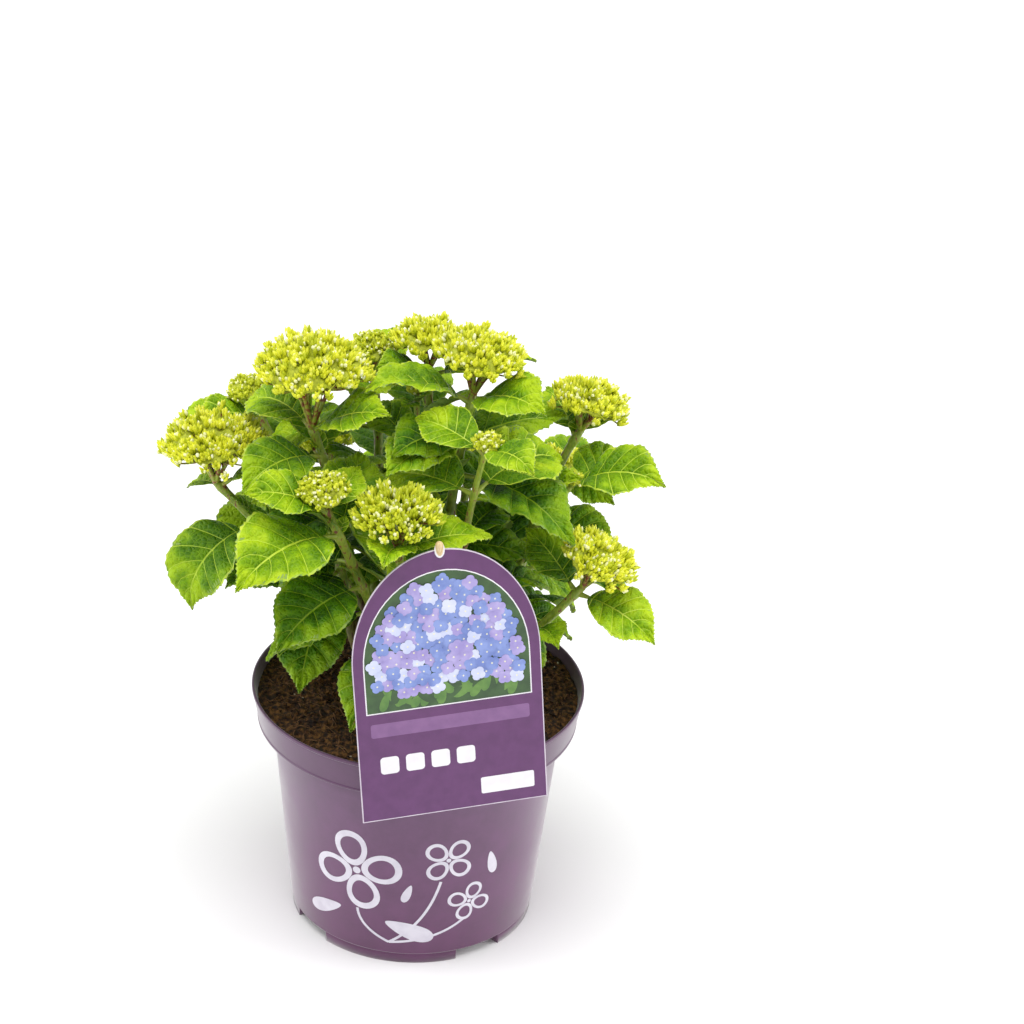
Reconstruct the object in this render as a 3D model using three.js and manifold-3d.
// A young mop-head hydrangea in a 5 litre nursery pot, in millimetres, +Z up.
// The origin is the centre of the pot's flat underside, and -Y is the side that the label hangs on.
import * as THREE from 'three';
import { mergeVertices } from 'three/addons/utils/BufferGeometryUtils.js';
import Module from 'manifold-3d';

const wasm = await Module();
wasm.setup();

// Pot: a tapering plastic container with a deep collar and four drain notches in its foot.
const POT = {
  rimRadius: 115, height: 176, wall: 1.8, lip: 1.2, lipInset: 0.6, collarDrop: 24.5, collarFootRadius: 111,
  collarEdge: 0.8, shoulder: 4, neckRadius: 100.5, footRadius: 86.3, footInset: 1.3, footHeight: 7.5,
  footStep: 1, floor: 3, sides: 44,
};
const NOTCH = { count: 4, width: 36, depth: 24, beyond: 6, first: -54 };
// Compost: it fills the pot to a little under the rim, flat round the stool and crumbly outside that.
const COMPOST = { top: 168, gap: 0.3, wallGap: 0.9, flatRadius: 42, relief: 2.4, rings: 3, sides: 28, seed: 7 };
// Stool: the short woody foot that the canes grow from.
const STOOL = { radius: 26, flare: 30, flareHeight: 4, sides: 16, steps: 4 };
// Label: an arch-topped card hung on a bamboo stick, leaning on the pot's rim.
const LABEL = {
  width: 125, side: 111, arch: 78, thick: 0.9, yaw: 14, lean: 5, turn: 4, shift: 0.6, drop: 29.1, gap: 0.6,
  archSteps: 9,
};
const STICK = { radius: 2.6, tip: [13.8, -104, 341], lean: 19, depth: 60, sides: 10, endSteps: 3 };

// Canes and shoots. Stems leave the stool on two rings of places and rise to a fork under the flower head.
const STEM = {
  gap: 0.3, sides: 5, caneSteps: 5, stepLength: 28, leastSteps: 3, footRadius: 4.1, forkRadius: 2.7,
  budForkRadius: 1.8, budHead: 14, innerReach: 60, innerStart: -60, innerRise: 74, outerStart: -172,
  outerRises: [52, 30], footPull: 0.3, forkPull: 0.36, leanPerMm: 0.3, lowestNode: 26, underNode: 9,
  leastCane: 0.12, leastEdge: 0.4, ringWay: [1, 0.35, 0],
};
// Leaf: an ovate blade, folded a little along its midrib, on a short stalk.
const LEAF = {
  widthShare: 0.72, thick: 1.5, tipThin: 0.55, tipHalf: 0.5, tipFrom: 0.999, stalkShare: 0.17, stalkRadius: 1.5,
  stalkTaper: 0.5, fold: 11, facing: 46, bladeSteps: 4, bendPower: 1.4, bendSteps: 24,
  lengths: [0.72, 0.96, 1, 0.82, 0.7], rises: [34, 20, 6, -4, -8], bends: [42, 52, 56, 44, 40],
  lengthJitter: 0.08, riseJitter: 9, bendJitter: 14, turnJitter: 9, swayJitter: 16, rollJitter: 14,
  seed: 1009,
};
// Room that leaves keep from each other, from stems, heads, pot and label, and the points tested for it.
const ROOM = {
  leafNormal: 3.6, ownNormal: 1.5, leafEdge: 2, stem: 2.6, own: 0.5, ownPoints: 11, stemStep: 5, head: 2,
  ray: 0.5, rayFoot: 0.2, pot: 3, rim: 14, card: 5, cardEdge: 3, stick: 5, along: 1.5, steps: 12,
  stalkSteps: 3, across: 4,
};
// What is tried, in this order, where a leaf finds no room: a smaller blade, another direction, another rise.
const TRY = {
  scales: [1, 0.86, 0.72, 0.6],
  turns: [0, 10, -10, 20, -20, 30, -30, 42, -42],
  rises: [0, 7, -7, 14, -14, 21, -21, 30, -30, 40],
};
// Head: rays that carry a domed cushion of flower buds. Each level of the cushion is [reach, height] in radii.
const HEAD = {
  room: 0.45, ownRoom: 0.8, knob: 1.4, knobRadius: 24, seed: 37, sidesPerMm: 0.4, leastSides: 7, mostSides: 14,
  levels: [[0.45, -0.13], [0.86, -0.1], [0.98, 0.04], [0.76, 0.22], [0.4, 0.33]],
};
const RAY = { count: 5, sides: 3, radius: 1.5, taper: 0.8, sink: 1.5, reach: 0.5, turn: 0.3 };

const FINISH = {
  leaf: { color: 0x6f9a2a, roughness: 0.6 },
  stem: { color: 0x6f7a34, roughness: 0.6 },
  wood: { color: 0x6b5138, roughness: 0.85 },
  pot: { color: 0x7f5a7c, roughness: 0.45 },
  compost: { color: 0x3a2a1c, roughness: 0.95 },
  card: { color: 0x7a4a80, roughness: 0.35 },
  bamboo: { color: 0xd9c49a, roughness: 0.7 },
};

// Each shoot: the middle of its head, the head's radius and tilt, how far the fork lies under it (ray), how far
// under the fork the first leaves are (first) and how far apart the pairs are (gap), the compass direction of
// the top pair (turn), the longest blade (leaf) and the number of leaf pairs.
// tips places single leaves by their tip, droop and roll: 2 * pair + side -> [x, y, z, bend, roll], where a
// roll of 0 is left out, and null means no leaf.
const SHOOTS = [
  { name: 'front', head: [-14, -85, 352], radius: 30, tilt: 6, ray: 27, first: 7, gap: 44, turn: 150,
    leaf: 92, pairs: 4, tips: { 0: [-21, -129, 315, 60], 2: null, 4: [-40, -112, 201, 60] } },
  { name: 'front_left', head: [-63, -75, 361], radius: 18.5, tilt: 8, ray: 16, first: 4, gap: 24, turn: 178,
    leaf: 100, pairs: 5, tips: { 0: [-110, -91, 369, 45], 1: [-42, -30, 355, 10], 2: [-113, -135, 314, 60],
      4: [-94, -24, 258, 50], 6: [-89, -110, 257, 55] } },
  { name: 'left', head: [-141, -5, 357], radius: 37, tilt: 3, ray: 31, first: 4, gap: 36, turn: 170,
    leaf: 92, pairs: 4, tips: { 0: [-160, 22, 309, 40], 2: [-153, -30, 241, 95], 3: [-62, 28, 300, 40],
      4: [-155, 30, 230, 40], 5: [-103, -51, 253, 50], 6: [-76, -58, 193, 60] } },
  { name: 'top_left', head: [-75, -15, 420], radius: 39, tilt: 0, ray: 46, first: 2, gap: 20, turn: 175,
    leaf: 90, pairs: 6, tips: { 0: [-123, 29, 367, 80], 1: [-22, -44, 400, 40], 2: [-117, -60, 345, 70],
      3: [-76, 45, 351, 80], 4: [-100, -45, 329, 40] } },
  { name: 'top_right', head: [34, -5, 430], radius: 31, tilt: 8, ray: 31, first: 7, gap: 26, turn: 5,
    leaf: 88, pairs: 6, tips: { 0: [78, -53, 409, 55], 2: [-21, -50, 372, 55] } },
  { name: 'top_back', head: [-1, 40, 420], radius: 27, tilt: 5, ray: 22, first: 7, gap: 30, turn: 185,
    leaf: 84, pairs: 6, tips: { 0: [-36, 8, 408, 40] } },
  { name: 'right_high', head: [108, 45, 376], radius: 28, tilt: 14, ray: 22, first: 7, gap: 32, turn: 60,
    leaf: 92, pairs: 5, tips: { 0: [122, 95, 345, 60], 1: [78, 93, 354, 50], 2: [128, 20, 310, 50], 3: null,
      4: [130, 19, 275, 50], 7: null } },
  { name: 'right_low', head: [119, -35, 299], radius: 28, tilt: 24, ray: 27, first: 7, gap: 40, turn: 140,
    leaf: 84, pairs: 3, tips: { 0: [66, 6, 292, 30], 1: [158, -58, 247, 45], 2: [94, -65, 245, 60],
      3: null, 5: null } },
  { name: 'right_bud', head: [99, 10, 335], radius: 8, tilt: 10, ray: 5, first: 2, gap: 36, turn: 20,
    leaf: 88, pairs: 4, tips: { 0: [128, 58, 350, 45], 1: [160, -19, 346, 60], 2: [124, -20, 314, 70] } },
  { name: 'middle_right', head: [41, -62, 394], radius: 10.5, tilt: 8, ray: 9, first: 2, gap: 36, turn: 150,
    leaf: 86, pairs: 5, tips: { 0: [-2, -34, 412, 35], 1: [72, -96, 387, 70], 2: [-28, -10, 339, 40],
      3: [91, 4, 339, 70], 4: [49, 8, 310, 30], 5: null } },
  { name: 'middle', head: [-8, 14, 393], radius: 6.5, tilt: 3, ray: 7, first: 3, gap: 32, turn: 200,
    leaf: 78, pairs: 6, tips: { 0: [-17, -6, 388, 30], 1: [3, -4, 392, 30], 2: [34, -29, 353, 50],
      3: [-44, 44, 338, 40] } },
  { name: 'back_top_left', head: [-41, 55, 404], radius: 19, tilt: 8, ray: 20, first: 7, gap: 30, turn: 90,
    leaf: 80, pairs: 6, tips: { 0: [-29, 98, 399, 40] } },
  { name: 'back_left', head: [-125, 75, 360], radius: 17, tilt: 15, ray: 17, first: 7, gap: 32, turn: 185,
    leaf: 86, pairs: 5, tips: { 0: [-151, 48, 368, 60], 2: [-182, 77, 326, 45], 4: [-122, 45, 285, 30] } },
  { name: 'back_low_left', head: [-78, 128, 298], radius: 24, tilt: 20, ray: 22, first: 7, gap: 30, turn: 120,
    leaf: 96, pairs: 4, tips: {} },
  { name: 'back_low', head: [28, 138, 290], radius: 26, tilt: 20, ray: 22, first: 7, gap: 30, turn: 80,
    leaf: 98, pairs: 4, tips: {} },
  { name: 'back_low_right', head: [92, 112, 296], radius: 22, tilt: 18, ray: 20, first: 7, gap: 30, turn: 70,
    leaf: 84, pairs: 4, tips: { 3: [118, 62, 262, 50] } },
];

const rad = THREE.MathUtils.degToRad;
const at = (x, y, z) => new THREE.Vector3(x, y, z);

// A repeatable stream of numbers from 0 to 1.
function stream(seed) {
  let state = seed >>> 0;
  return () => {
    state = (Math.imul(state, 1664525) + 1013904223) >>> 0;
    return state / 4294967296;
  };
}

// Rings of points joined into a closed skin, with a point at either end of the row of rings.
function skin(rings) {
  const sides = rings[0].length;
  const middle = (ring) => ring.reduce((sum, p) => sum.add(p), at(0, 0, 0)).divideScalar(sides);
  const points = [...rings.flat(), middle(rings[0]), middle(rings.at(-1))];
  const faces = [];
  rings.slice(1).forEach((_, r) => {
    for (let i = 0; i < sides; i++) {
      const j = (i + 1) % sides;
      const [a, b, c, d] = [r * sides + i, r * sides + j, (r + 1) * sides + i, (r + 1) * sides + j];
      faces.push(a, b, d, a, d, c);
    }
  });
  const last = (rings.length - 1) * sides;
  for (let i = 0; i < sides; i++) {
    const j = (i + 1) % sides;
    faces.push(points.length - 2, j, i, points.length - 1, last + i, last + j);
  }
  const geometry = new THREE.BufferGeometry().setFromPoints(points);
  geometry.setIndex(faces);
  return geometry;
}

function solidOf(geometry) {
  const bare = geometry.clone();
  bare.deleteAttribute('normal');
  bare.deleteAttribute('uv');
  const merged = mergeVertices(bare, 1e-4);
  const triVerts = new Uint32Array(merged.index.array);
  const vertProperties = merged.attributes.position.array;
  return new wasm.Manifold(new wasm.Mesh({ numProp: 3, vertProperties, triVerts }));
}

function geometryOf(solid) {
  const { vertProperties, triVerts } = solid.getMesh();
  return new THREE.BufferGeometry()
    .setAttribute('position', new THREE.BufferAttribute(vertProperties, 3))
    .setIndex(new THREE.BufferAttribute(triVerts, 1));
}

function mesh(name, solid, finish) {
  const material = new THREE.MeshStandardMaterial({ ...finish, metalness: 0 });
  const made = new THREE.Mesh(geometryOf(solid), material);
  made.name = name;
  return made;
}

// Turned shapes: LatheGeometry turns about Y, and the plant's axis is Z.
function turned(profile, sides) {
  return new THREE.LatheGeometry(profile.map(([r, z]) => new THREE.Vector2(r, z)), sides).rotateX(Math.PI / 2);
}

// The pot's inner wall from the floor up to the lip, as [radius, height] pairs.
function innerWall() {
  const collarZ = POT.height - POT.collarDrop;
  return [
    [POT.footRadius - POT.wall, POT.footHeight + POT.floor],
    [POT.neckRadius - POT.wall, collarZ - POT.shoulder / 2],
    [POT.collarFootRadius - POT.wall - POT.footStep, collarZ + POT.shoulder],
    [POT.rimRadius - POT.wall, POT.height],
  ];
}

function potSolid() {
  const collarZ = POT.height - POT.collarDrop;
  const footR = POT.footRadius - POT.footInset;
  const body = solidOf(turned([
    [0, 0], [footR, 0], [footR, POT.footHeight], [POT.footRadius, POT.footHeight + POT.footStep],
    [POT.neckRadius, collarZ], [POT.collarFootRadius - POT.wall, collarZ],
    [POT.collarFootRadius, collarZ + POT.collarEdge], [POT.rimRadius, POT.height - POT.lip],
    [POT.rimRadius - POT.lipInset, POT.height], ...innerWall().reverse(), [0, POT.footHeight + POT.floor],
  ], POT.sides));
  const notches = Array.from({ length: NOTCH.count }, (_, i) => {
    const cut = new THREE.BoxGeometry(NOTCH.depth, NOTCH.width, POT.footHeight * 2);
    cut.translate(POT.footRadius + NOTCH.beyond - NOTCH.depth / 2, 0, 0);
    return solidOf(cut.rotateZ(rad(NOTCH.first + (360 / NOTCH.count) * i)));
  });
  return body.subtract(wasm.Manifold.union(notches));
}

// The compost follows the pot's inner wall, drawn in by a gap. Its top is crumbly, with the stick's hole in it.
function compostSolid() {
  const inside = innerWall().map(([r, z]) => [r - COMPOST.wallGap, z]);
  inside[0][1] += COMPOST.gap;
  const [low, high] = inside.slice(-2);
  const edge = THREE.MathUtils.mapLinear(COMPOST.top, low[1], high[1], low[0], high[0]);
  const profile = [[0, inside[0][1]], ...inside.slice(0, -1), [edge, COMPOST.top - COMPOST.relief]];
  for (let k = 1; k <= COMPOST.rings; k++) {
    profile.push([THREE.MathUtils.mapLinear(k, 0, COMPOST.rings, edge, COMPOST.flatRadius), COMPOST.top]);
  }
  profile.push([0, COMPOST.top]);
  const lathe = turned(profile, COMPOST.sides).deleteAttribute('normal').deleteAttribute('uv');
  const geometry = mergeVertices(lathe, 1e-3);
  const position = geometry.attributes.position;
  const random = stream(COMPOST.seed);
  for (let i = 0; i < position.count; i++) {
    const bump = (random() * 2 - 1) * COMPOST.relief;
    const crumbly = Math.hypot(position.getX(i), position.getY(i)) > COMPOST.flatRadius + 1;
    if (crumbly && position.getZ(i) > COMPOST.top - 0.1) position.setZ(i, COMPOST.top + bump);
  }
  return solidOf(geometry).subtract(stickSolid(STEM.gap));
}

// A low domed knuckle with a flared foot, cut flat where it meets the compost.
function stoolSolid() {
  const z = COMPOST.top + COMPOST.gap;
  const profile = [[0, z], [STOOL.flare, z]];
  for (let k = 0; k <= STOOL.steps; k++) {
    const a = THREE.MathUtils.lerp(Math.asin(STOOL.flareHeight / STOOL.radius), Math.PI / 2, k / STOOL.steps);
    profile.push([k < STOOL.steps ? STOOL.radius * Math.cos(a) : 0, z + STOOL.radius * Math.sin(a)]);
  }
  return solidOf(turned(profile, STOOL.sides));
}

// The label's frame: the middle of its lower edge, and its width, height and facing directions.
function labelFrame() {
  const [yaw, lean, turn] = [rad(LABEL.yaw), rad(LABEL.lean), rad(LABEL.turn)];
  const facing = at(Math.sin(yaw) * Math.cos(lean), -Math.cos(yaw) * Math.cos(lean), Math.sin(lean));
  const level = at(Math.cos(yaw), Math.sin(yaw), 0);
  const rise = new THREE.Vector3().crossVectors(facing, level);
  const across = level.clone().multiplyScalar(Math.cos(turn)).addScaledVector(rise, Math.sin(turn));
  const up = level.clone().multiplyScalar(-Math.sin(turn)).addScaledVector(rise, Math.cos(turn));
  const origin = at(POT.rimRadius * Math.sin(yaw), -POT.rimRadius * Math.cos(yaw), POT.height)
    .addScaledVector(facing, LABEL.gap + LABEL.thick / 2)
    .addScaledVector(across, LABEL.shift)
    .addScaledVector(up, -LABEL.drop);
  return { origin, across, up, facing };
}

function labelSolid() {
  const half = LABEL.width / 2;
  const outline = new THREE.Shape();
  outline.moveTo(-half, 0);
  outline.lineTo(half, 0);
  outline.lineTo(half, LABEL.side);
  outline.absellipse(0, LABEL.side, half, LABEL.arch, 0, Math.PI, false);
  const options = { depth: LABEL.thick, bevelEnabled: false, curveSegments: LABEL.archSteps };
  const { origin, across, up, facing } = labelFrame();
  const card = new THREE.ExtrudeGeometry(outline, options).translate(0, 0, -LABEL.thick / 2);
  card.applyMatrix4(new THREE.Matrix4().makeBasis(across, up, facing).setPosition(origin));
  return solidOf(card).subtract(stickSolid(STEM.gap));
}

function stickLine() {
  const tip = at(...STICK.tip);
  const down = at(0, Math.sin(rad(STICK.lean)), -Math.cos(rad(STICK.lean)));
  const length = (tip.z - COMPOST.top + STICK.depth) / -down.z;
  return new THREE.Line3(tip, tip.clone().addScaledVector(down, length));
}

// The stick, or the hole that it sits in when extra is the room round it.
function stickSolid(extra) {
  const line = stickLine();
  const reach = line.distance() + 2 * (extra - STICK.radius);
  const rod = new THREE.CapsuleGeometry(STICK.radius + extra, reach, STICK.endSteps, STICK.sides);
  const along = line.start.clone().sub(line.end).normalize();
  rod.applyQuaternion(new THREE.Quaternion().setFromUnitVectors(at(0, 1, 0), along));
  return solidOf(rod.translate(...line.getCenter(at(0, 0, 0)).toArray()));
}

// The direction that leans out from straight up by an angle, towards the shoot's head.
function leaning(shoot, angle) {
  const compass = Math.atan2(shoot.head[1], shoot.head[0]);
  const out = Math.sin(rad(angle));
  return at(out * Math.cos(compass), out * Math.sin(compass), Math.cos(rad(angle)));
}

// Where each stem leaves the stool, as [compass direction, rise]: places on an inner and an outer ring, shared
// out in the order of the heads' directions.
function stemStarts() {
  const outward = (s) => Math.hypot(s.head[0], s.head[1]);
  const compass = ({ head }) => Math.atan2(head[1], head[0]);
  const inOrder = SHOOTS.toSorted((a, b) => compass(a) - compass(b));
  const inner = inOrder.filter((s) => outward(s) < STEM.innerReach);
  const outer = inOrder.filter((s) => outward(s) >= STEM.innerReach);
  const starts = new Map();
  inner.forEach((s, i) => starts.set(s, [STEM.innerStart + (360 / inner.length) * i, STEM.innerRise]));
  outer.forEach((s, i) => starts.set(s, [STEM.outerStart + (360 / outer.length) * i, STEM.outerRises[i % 2]]));
  return starts;
}

function plannedStems() {
  const starts = stemStarts();
  return SHOOTS.map((shoot) => {
    const [azimuth, rise] = starts.get(shoot).map(rad);
    const head = at(...shoot.head);
    const axis = leaning(shoot, shoot.tilt);
    const fork = head.clone().addScaledVector(axis, -shoot.ray);
    const away = at(Math.cos(rise) * Math.cos(azimuth), Math.cos(rise) * Math.sin(azimuth), Math.sin(rise));
    const foot = at(0, 0, COMPOST.top + COMPOST.gap).addScaledVector(away, STOOL.radius + STEM.gap);
    const reach = foot.distanceTo(fork);
    const arriving = leaning(shoot, Math.hypot(head.x, head.y) * STEM.leanPerMm);
    const curve = new THREE.CubicBezierCurve3(
      foot,
      foot.clone().addScaledVector(away, reach * STEM.footPull),
      fork.clone().addScaledVector(arriving, -reach * STEM.forkPull),
      fork,
    );
    const length = curve.getLength();
    const line = curve.getSpacedPoints(Math.ceil(length / ROOM.stemStep));
    return { shoot, head, axis, fork, curve, length, line };
  });
}

function stemRadius(shoot, t) {
  const forkRadius = shoot.radius > STEM.budHead ? STEM.forkRadius : STEM.budForkRadius;
  return THREE.MathUtils.lerp(STEM.footRadius, forkRadius, t);
}

// Rings of points round a tapering stretch of a stem.
function stemRings(stem, from, to, steps) {
  const across = at(...STEM.ringWay).normalize();
  return Array.from({ length: steps + 1 }, (_, k) => {
    const t = THREE.MathUtils.lerp(from, to, k / steps);
    const along = stem.curve.getTangent(t);
    const x = across.clone().addScaledVector(along, -across.dot(along)).normalize();
    const y = new THREE.Vector3().crossVectors(along, x);
    return ringOf(stem.curve.getPoint(t), x, y, stemRadius(stem.shoot, t), STEM.sides);
  });
}

function ringOf(middle, x, y, radius, sides) {
  return Array.from({ length: sides }, (_, i) => {
    const a = (2 * Math.PI * i) / sides;
    return middle.clone().addScaledVector(x, radius * Math.cos(a)).addScaledVector(y, radius * Math.sin(a));
  });
}

// Half the blade's width at a share of its length, as a share of the leaf's half width.
const bladeShape = (u) => Math.sin(Math.PI * u ** 0.82) ** (0.7 + 0.5 * u);

// How far a path with a given bend carries, as a share of its length, and how far below its first direction.
function carry(bend) {
  let [x, z] = [0, 0];
  for (let k = 0; k < LEAF.bendSteps; k++) {
    const down = rad(bend) * ((k + 0.5) / LEAF.bendSteps) ** LEAF.bendPower;
    x += Math.cos(down) / LEAF.bendSteps;
    z += Math.sin(down) / LEAF.bendSteps;
  }
  return { share: Math.hypot(x, z), below: THREE.MathUtils.radToDeg(Math.atan2(z, x)) };
}

// The blade length, rise and compass direction of a leaf that ends at a given tip.
function aimed(base, [x, y, z, bend, roll]) {
  const chord = at(x, y, z).sub(base);
  const azimuth = Math.atan2(chord.y, chord.x);
  const { share, below } = carry(bend);
  return {
    bend,
    roll: roll ?? LEAF.facing * Math.cos(azimuth),
    sway: 0,
    length: chord.length() / share / (1 + LEAF.stalkShare),
    rise: THREE.MathUtils.radToDeg(Math.asin(chord.z / chord.length())) + below,
    azimuth: THREE.MathUtils.radToDeg(azimuth),
  };
}

// A leaf's direction, side and upper-face vectors at a share q of its path, which droops, sways and rolls.
function leafWay(leaf, q) {
  const rise = rad(leaf.rise - leaf.bend * q ** LEAF.bendPower);
  const azimuth = rad(leaf.azimuth + leaf.sway * q);
  const roll = rad(leaf.roll * q);
  const along = at(Math.cos(rise) * Math.cos(azimuth), Math.cos(rise) * Math.sin(azimuth), Math.sin(rise));
  const level = at(-Math.sin(azimuth), Math.cos(azimuth), 0);
  const upper = new THREE.Vector3().crossVectors(along, level);
  const side = level.clone().multiplyScalar(Math.cos(roll)).addScaledVector(upper, Math.sin(roll));
  return { along, side, upper: new THREE.Vector3().crossVectors(along, side) };
}

// The stations along a leaf, stalk first, each with its middle, directions and half width.
function leafStations(leaf, steps, stalkSteps) {
  const stalk = LEAF.stalkShare * leaf.length;
  const whole = stalk + leaf.length;
  const shares = Array.from({ length: stalkSteps }, (_, k) => (stalk * k) / stalkSteps / whole);
  for (let k = 0; k <= steps; k++) shares.push((stalk + (leaf.length * k) / steps) / whole);
  const point = leaf.base.clone();
  return shares.map((q, k) => {
    if (k) point.addScaledVector(leafWay(leaf, (q + shares[k - 1]) / 2).along, (q - shares[k - 1]) * whole);
    const u = Math.max(0, (q * whole - stalk) / leaf.length);
    const stalkHalf = LEAF.stalkRadius * (1 - LEAF.stalkTaper * u);
    const bladeHalf = leaf.length * LEAF.widthShare * 0.5 * bladeShape(u);
    const half = u > LEAF.tipFrom ? LEAF.tipHalf : Math.max(stalkHalf, bladeHalf);
    return { ...leafWay(leaf, q), q, u, half, point: point.clone(), blade: k >= stalkSteps };
  });
}

// The point on a station's blade that lies a signed distance out from the midrib, up the fold.
function bladePoint(s, out, fold) {
  const across = s.point.clone().addScaledVector(s.side, out * Math.cos(fold));
  return across.addScaledVector(s.upper, Math.abs(out) * Math.sin(fold));
}

function leafSolid(leaf) {
  const rings = leafStations(leaf, LEAF.bladeSteps, 1).map((s) => {
    const fold = s.blade ? rad(LEAF.fold) : 0;
    const thick = s.blade ? LEAF.thick * (1 - LEAF.tipThin * s.u) : LEAF.stalkRadius * 2;
    return [
      bladePoint(s, s.half, fold),
      s.point.clone().addScaledVector(s.upper, thick / 2),
      bladePoint(s, -s.half, fold),
      s.point.clone().addScaledVector(s.upper, -thick / 2),
    ];
  });
  return solidOf(skin(rings));
}

// Points spread over a leaf, closer together than the room that it keeps.
function leafPoints(leaf) {
  return leafStations(leaf, ROOM.steps, ROOM.stalkSteps).slice(1).flatMap((s) => {
    if (!s.blade) return [s.point];
    const shares = Array.from({ length: 2 * ROOM.across + 1 }, (_, k) => k / ROOM.across - 1);
    return shares.map((share) => bladePoint(s, s.half * share, rad(LEAF.fold)));
  });
}

// Whether a point keeps clear of the pot, the compost, the card and the stick.
function clearOfPot(p, label, posed) {
  const out = Math.hypot(p.x, p.y);
  if (out < POT.rimRadius + ROOM.pot && p.z < COMPOST.top + COMPOST.relief + ROOM.pot) return false;
  const overRim = out > POT.rimRadius - ROOM.rim && out < POT.rimRadius + ROOM.pot;
  if (overRim && p.z < POT.height + ROOM.pot) return false;
  const card = p.clone().sub(label.origin);
  const overSide = THREE.MathUtils.clamp((card.dot(label.up) - LABEL.side) / LABEL.arch, 0, 1);
  const cardHalf = (LABEL.width / 2) * Math.sqrt(1 - overSide ** 2);
  const beside = Math.abs(card.dot(label.across)) > cardHalf + ROOM.cardEdge;
  const before = card.dot(label.facing);
  if (!beside && before > -ROOM.card && before < (posed ? ROOM.card : POT.rimRadius)) return false;
  return label.stick.closestPointToPoint(p, true, at(0, 0, 0)).distanceTo(p) > STICK.radius + ROOM.stick;
}

// Whether a point keeps clear of a stem, its rays and its head.
function clearOfStem(p, stem, own) {
  const r = stem.shoot.radius;
  const offset = p.clone().sub(stem.head);
  const high = offset.dot(stem.axis);
  const wide = Math.sqrt(Math.max(0, offset.lengthSq() - high * high));
  const spread = own ? HEAD.ownRoom * r : r + ROOM.head;
  if ((wide / spread) ** 2 + (high / (HEAD.room * spread)) ** 2 < 1) return false;
  const up = 1 + high / stem.shoot.ray;
  if (!own && up > ROOM.rayFoot && up < 1 && wide < r * ROOM.ray * up + ROOM.stem) return false;
  const room = own ? ROOM.own : ROOM.stem;
  return stem.line.every((q, k) => q.distanceTo(p) > stemRadius(stem.shoot, k / stem.line.length) + room);
}

// Whether a point keeps clear of a placed leaf's stations.
function clearOfLeaf(p, other, own) {
  if (p.distanceTo(other.middle) > other.radius) return true;
  const normal = own ? ROOM.ownNormal : ROOM.leafNormal;
  return other.stations.every((s) => {
    const d = p.clone().sub(s.point);
    const across = Math.abs(d.dot(s.side));
    return Math.abs(d.dot(s.along)) > s.reach || across > s.half + ROOM.leafEdge
      || Math.abs(d.dot(s.upper) - across * Math.tan(rad(LEAF.fold))) > normal;
  });
}

// Whether a leaf keeps its room. Its first points lie on its own stem, so that shoot doesn't test them.
function keepsRoom(leaf, placed, stems, label) {
  return leafPoints(leaf).every((p, i) => {
    const rooted = (stem) => stem === leaf.stem && i < ROOM.ownPoints;
    return clearOfPot(p, label, leaf.posed)
      && stems.every((stem) => rooted(stem) || clearOfStem(p, stem, stem === leaf.stem))
      && placed.every((other) => rooted(other.stem) || clearOfLeaf(p, other, other.stem === leaf.stem));
  });
}

// The room that a leaf takes up once it is placed.
function taken(leaf) {
  const stations = leafStations(leaf, ROOM.steps, ROOM.stalkSteps);
  const middle = stations[Math.round(stations.length / 2)].point;
  stations.forEach((s, k) => {
    const next = stations[Math.min(k + 1, stations.length - 1)].point;
    const last = stations[Math.max(k - 1, 0)].point;
    s.reach = Math.max(s.point.distanceTo(next), s.point.distanceTo(last)) / 2 + ROOM.along;
  });
  const radius = Math.max(...stations.map((s) => s.point.distanceTo(middle) + s.half)) + ROOM.leafNormal;
  return { stem: leaf.stem, stations, middle, radius };
}

// The leaves that one stem wants: opposite pairs, each pair crossing the last, from the top down.
function leavesOf(stem, number) {
  const { shoot } = stem;
  const random = stream(LEAF.seed * (number + 1));
  const jitter = (amount) => (random() * 2 - 1) * amount;
  const leaves = [];
  for (let k = 0; k < 2 * shoot.pairs; k++) {
    const pair = Math.floor(k / 2);
    const row = Math.min(pair, LEAF.lengths.length - 1);
    const from = stem.length - shoot.first - shoot.gap * pair;
    const leaf = {
      stem,
      from,
      length: shoot.leaf * LEAF.lengths[row] * (1 + jitter(LEAF.lengthJitter)),
      rise: LEAF.rises[row] + jitter(LEAF.riseJitter),
      bend: LEAF.bends[row] + jitter(LEAF.bendJitter),
      azimuth: shoot.turn + 90 * (pair % 2) + 180 * (k % 2) + jitter(LEAF.turnJitter),
      sway: jitter(LEAF.swayJitter),
      roll: jitter(LEAF.rollJitter),
      posed: Boolean(shoot.tips[k]),
    };
    if (from < STEM.lowestNode || shoot.tips[k] === null) continue;
    leaf.base = stem.curve.getPointAt(from / stem.length);
    leaves.push(leaf.posed ? { ...leaf, ...aimed(leaf.base, shoot.tips[k]) } : leaf);
  }
  return leaves;
}

// Each wanted leaf in turn, turned, lifted or made smaller until it keeps its room, or else skipped. The leaves
// with a tip of their own come first.
function plannedLeaves(stems, label) {
  const placed = [];
  const leaves = [];
  const wanted = stems.flatMap(leavesOf);
  for (const leaf of [...wanted.filter((l) => l.posed), ...wanted.filter((l) => !l.posed)]) {
    const options = TRY.scales.flatMap((scale) => TRY.turns.flatMap((turn) => TRY.rises.map((rise) => ({
      ...leaf, length: leaf.length * scale, azimuth: leaf.azimuth + turn, rise: leaf.rise + rise,
    }))));
    const found = options.find((option) => keepsRoom(option, placed, stems, label));
    if (!found) continue;
    placed.push(taken(found));
    leaves.push(found);
  }
  return leaves;
}

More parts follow.
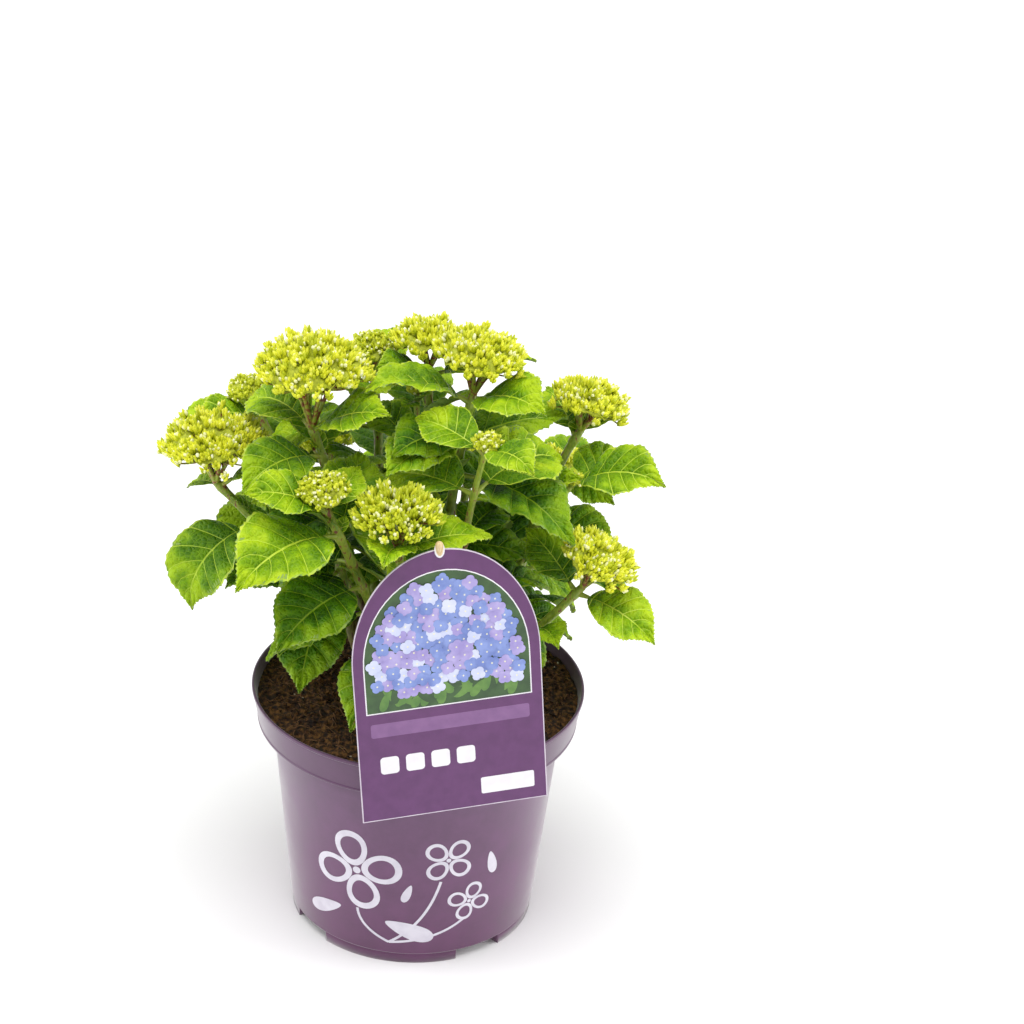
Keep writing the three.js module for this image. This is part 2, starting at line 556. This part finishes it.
// A flower head: a domed cushion whose skin is knobbly with buds, and the rays that carry it from the fork.
function headSolids({ head, axis, fork, shoot }) {
  const r = shoot.radius;
  const size = Math.min(1, r / HEAD.knobRadius);
  const turnUp = new THREE.Quaternion().setFromUnitVectors(at(0, 0, 1), axis);
  const place = (out, up, a) => at(out * Math.cos(a), out * Math.sin(a), up).applyQuaternion(turnUp).add(head);
  const sides = Math.round(THREE.MathUtils.clamp(r * HEAD.sidesPerMm, HEAD.leastSides, HEAD.mostSides));
  const random = stream(Math.round(HEAD.seed * r));
  const cushion = HEAD.levels.map(([out, up]) => Array.from({ length: sides }, (_, i) => {
    const knob = (random() * 2 - 1) * HEAD.knob * size;
    return place(out * (r + knob), up * r + knob, (2 * Math.PI * i) / sides);
  }));
  const rays = Array.from({ length: RAY.count }, (_, k) => {
    const end = place(RAY.reach * r, 0, (2 * Math.PI * (k + RAY.turn)) / RAY.count);
    const start = fork.clone().addScaledVector(axis, -RAY.sink);
    const along = end.clone().sub(start).normalize();
    const x = new THREE.Vector3().crossVectors(along, axis).normalize();
    const y = new THREE.Vector3().crossVectors(along, x);
    const thick = RAY.radius * size;
    return skin([ringOf(start, x, y, thick, RAY.sides), ringOf(end, x, y, thick * RAY.taper, RAY.sides)]);
  });
  return [skin(cushion), ...rays].map(solidOf);
}

// The bare cane, and above a small gap the leafy shoot with its head, fused to one solid.
function stemMeshes(stem, leaves) {
  const { shoot, length, curve } = stem;
  const lowest = Math.min(...leaves.map((leaf) => leaf.from));
  const split = Math.max(STEM.leastCane, (lowest - STEM.underNode) / length);
  const caneEnd = curve.getUtoTmapping(split);
  const shootStart = curve.getUtoTmapping(split + STEM.gap / length);
  const steps = Math.max(STEM.leastSteps, Math.round((length * (1 - split)) / STEM.stepLength));
  const cane = solidOf(skin(stemRings(stem, 0, caneEnd, STEM.caneSteps)));
  const axis = solidOf(skin(stemRings(stem, shootStart, 1, steps)));
  const fused = wasm.Manifold.union([axis, ...headSolids(stem), ...leaves.map(leafSolid)]);
  const leafy = fused.simplify(STEM.leastEdge);
  return [
    mesh(`cane_${shoot.name}`, cane, FINISH.stem),
    mesh(`shoot_${shoot.name}`, leafy, FINISH.leaf),
  ];
}

const plant = new THREE.Group();
plant.add(mesh('pot', potSolid(), FINISH.pot));
plant.add(mesh('compost', compostSolid(), FINISH.compost));
plant.add(mesh('stool', stoolSolid(), FINISH.wood));
plant.add(mesh('label_card', labelSolid(), FINISH.card));
plant.add(mesh('label_stick', stickSolid(0), FINISH.bamboo));

const stems = plannedStems();
const leaves = plannedLeaves(stems, { ...labelFrame(), stick: stickLine() });
for (const stem of stems) plant.add(...stemMeshes(stem, leaves.filter((leaf) => leaf.stem === stem)));

export default plant;
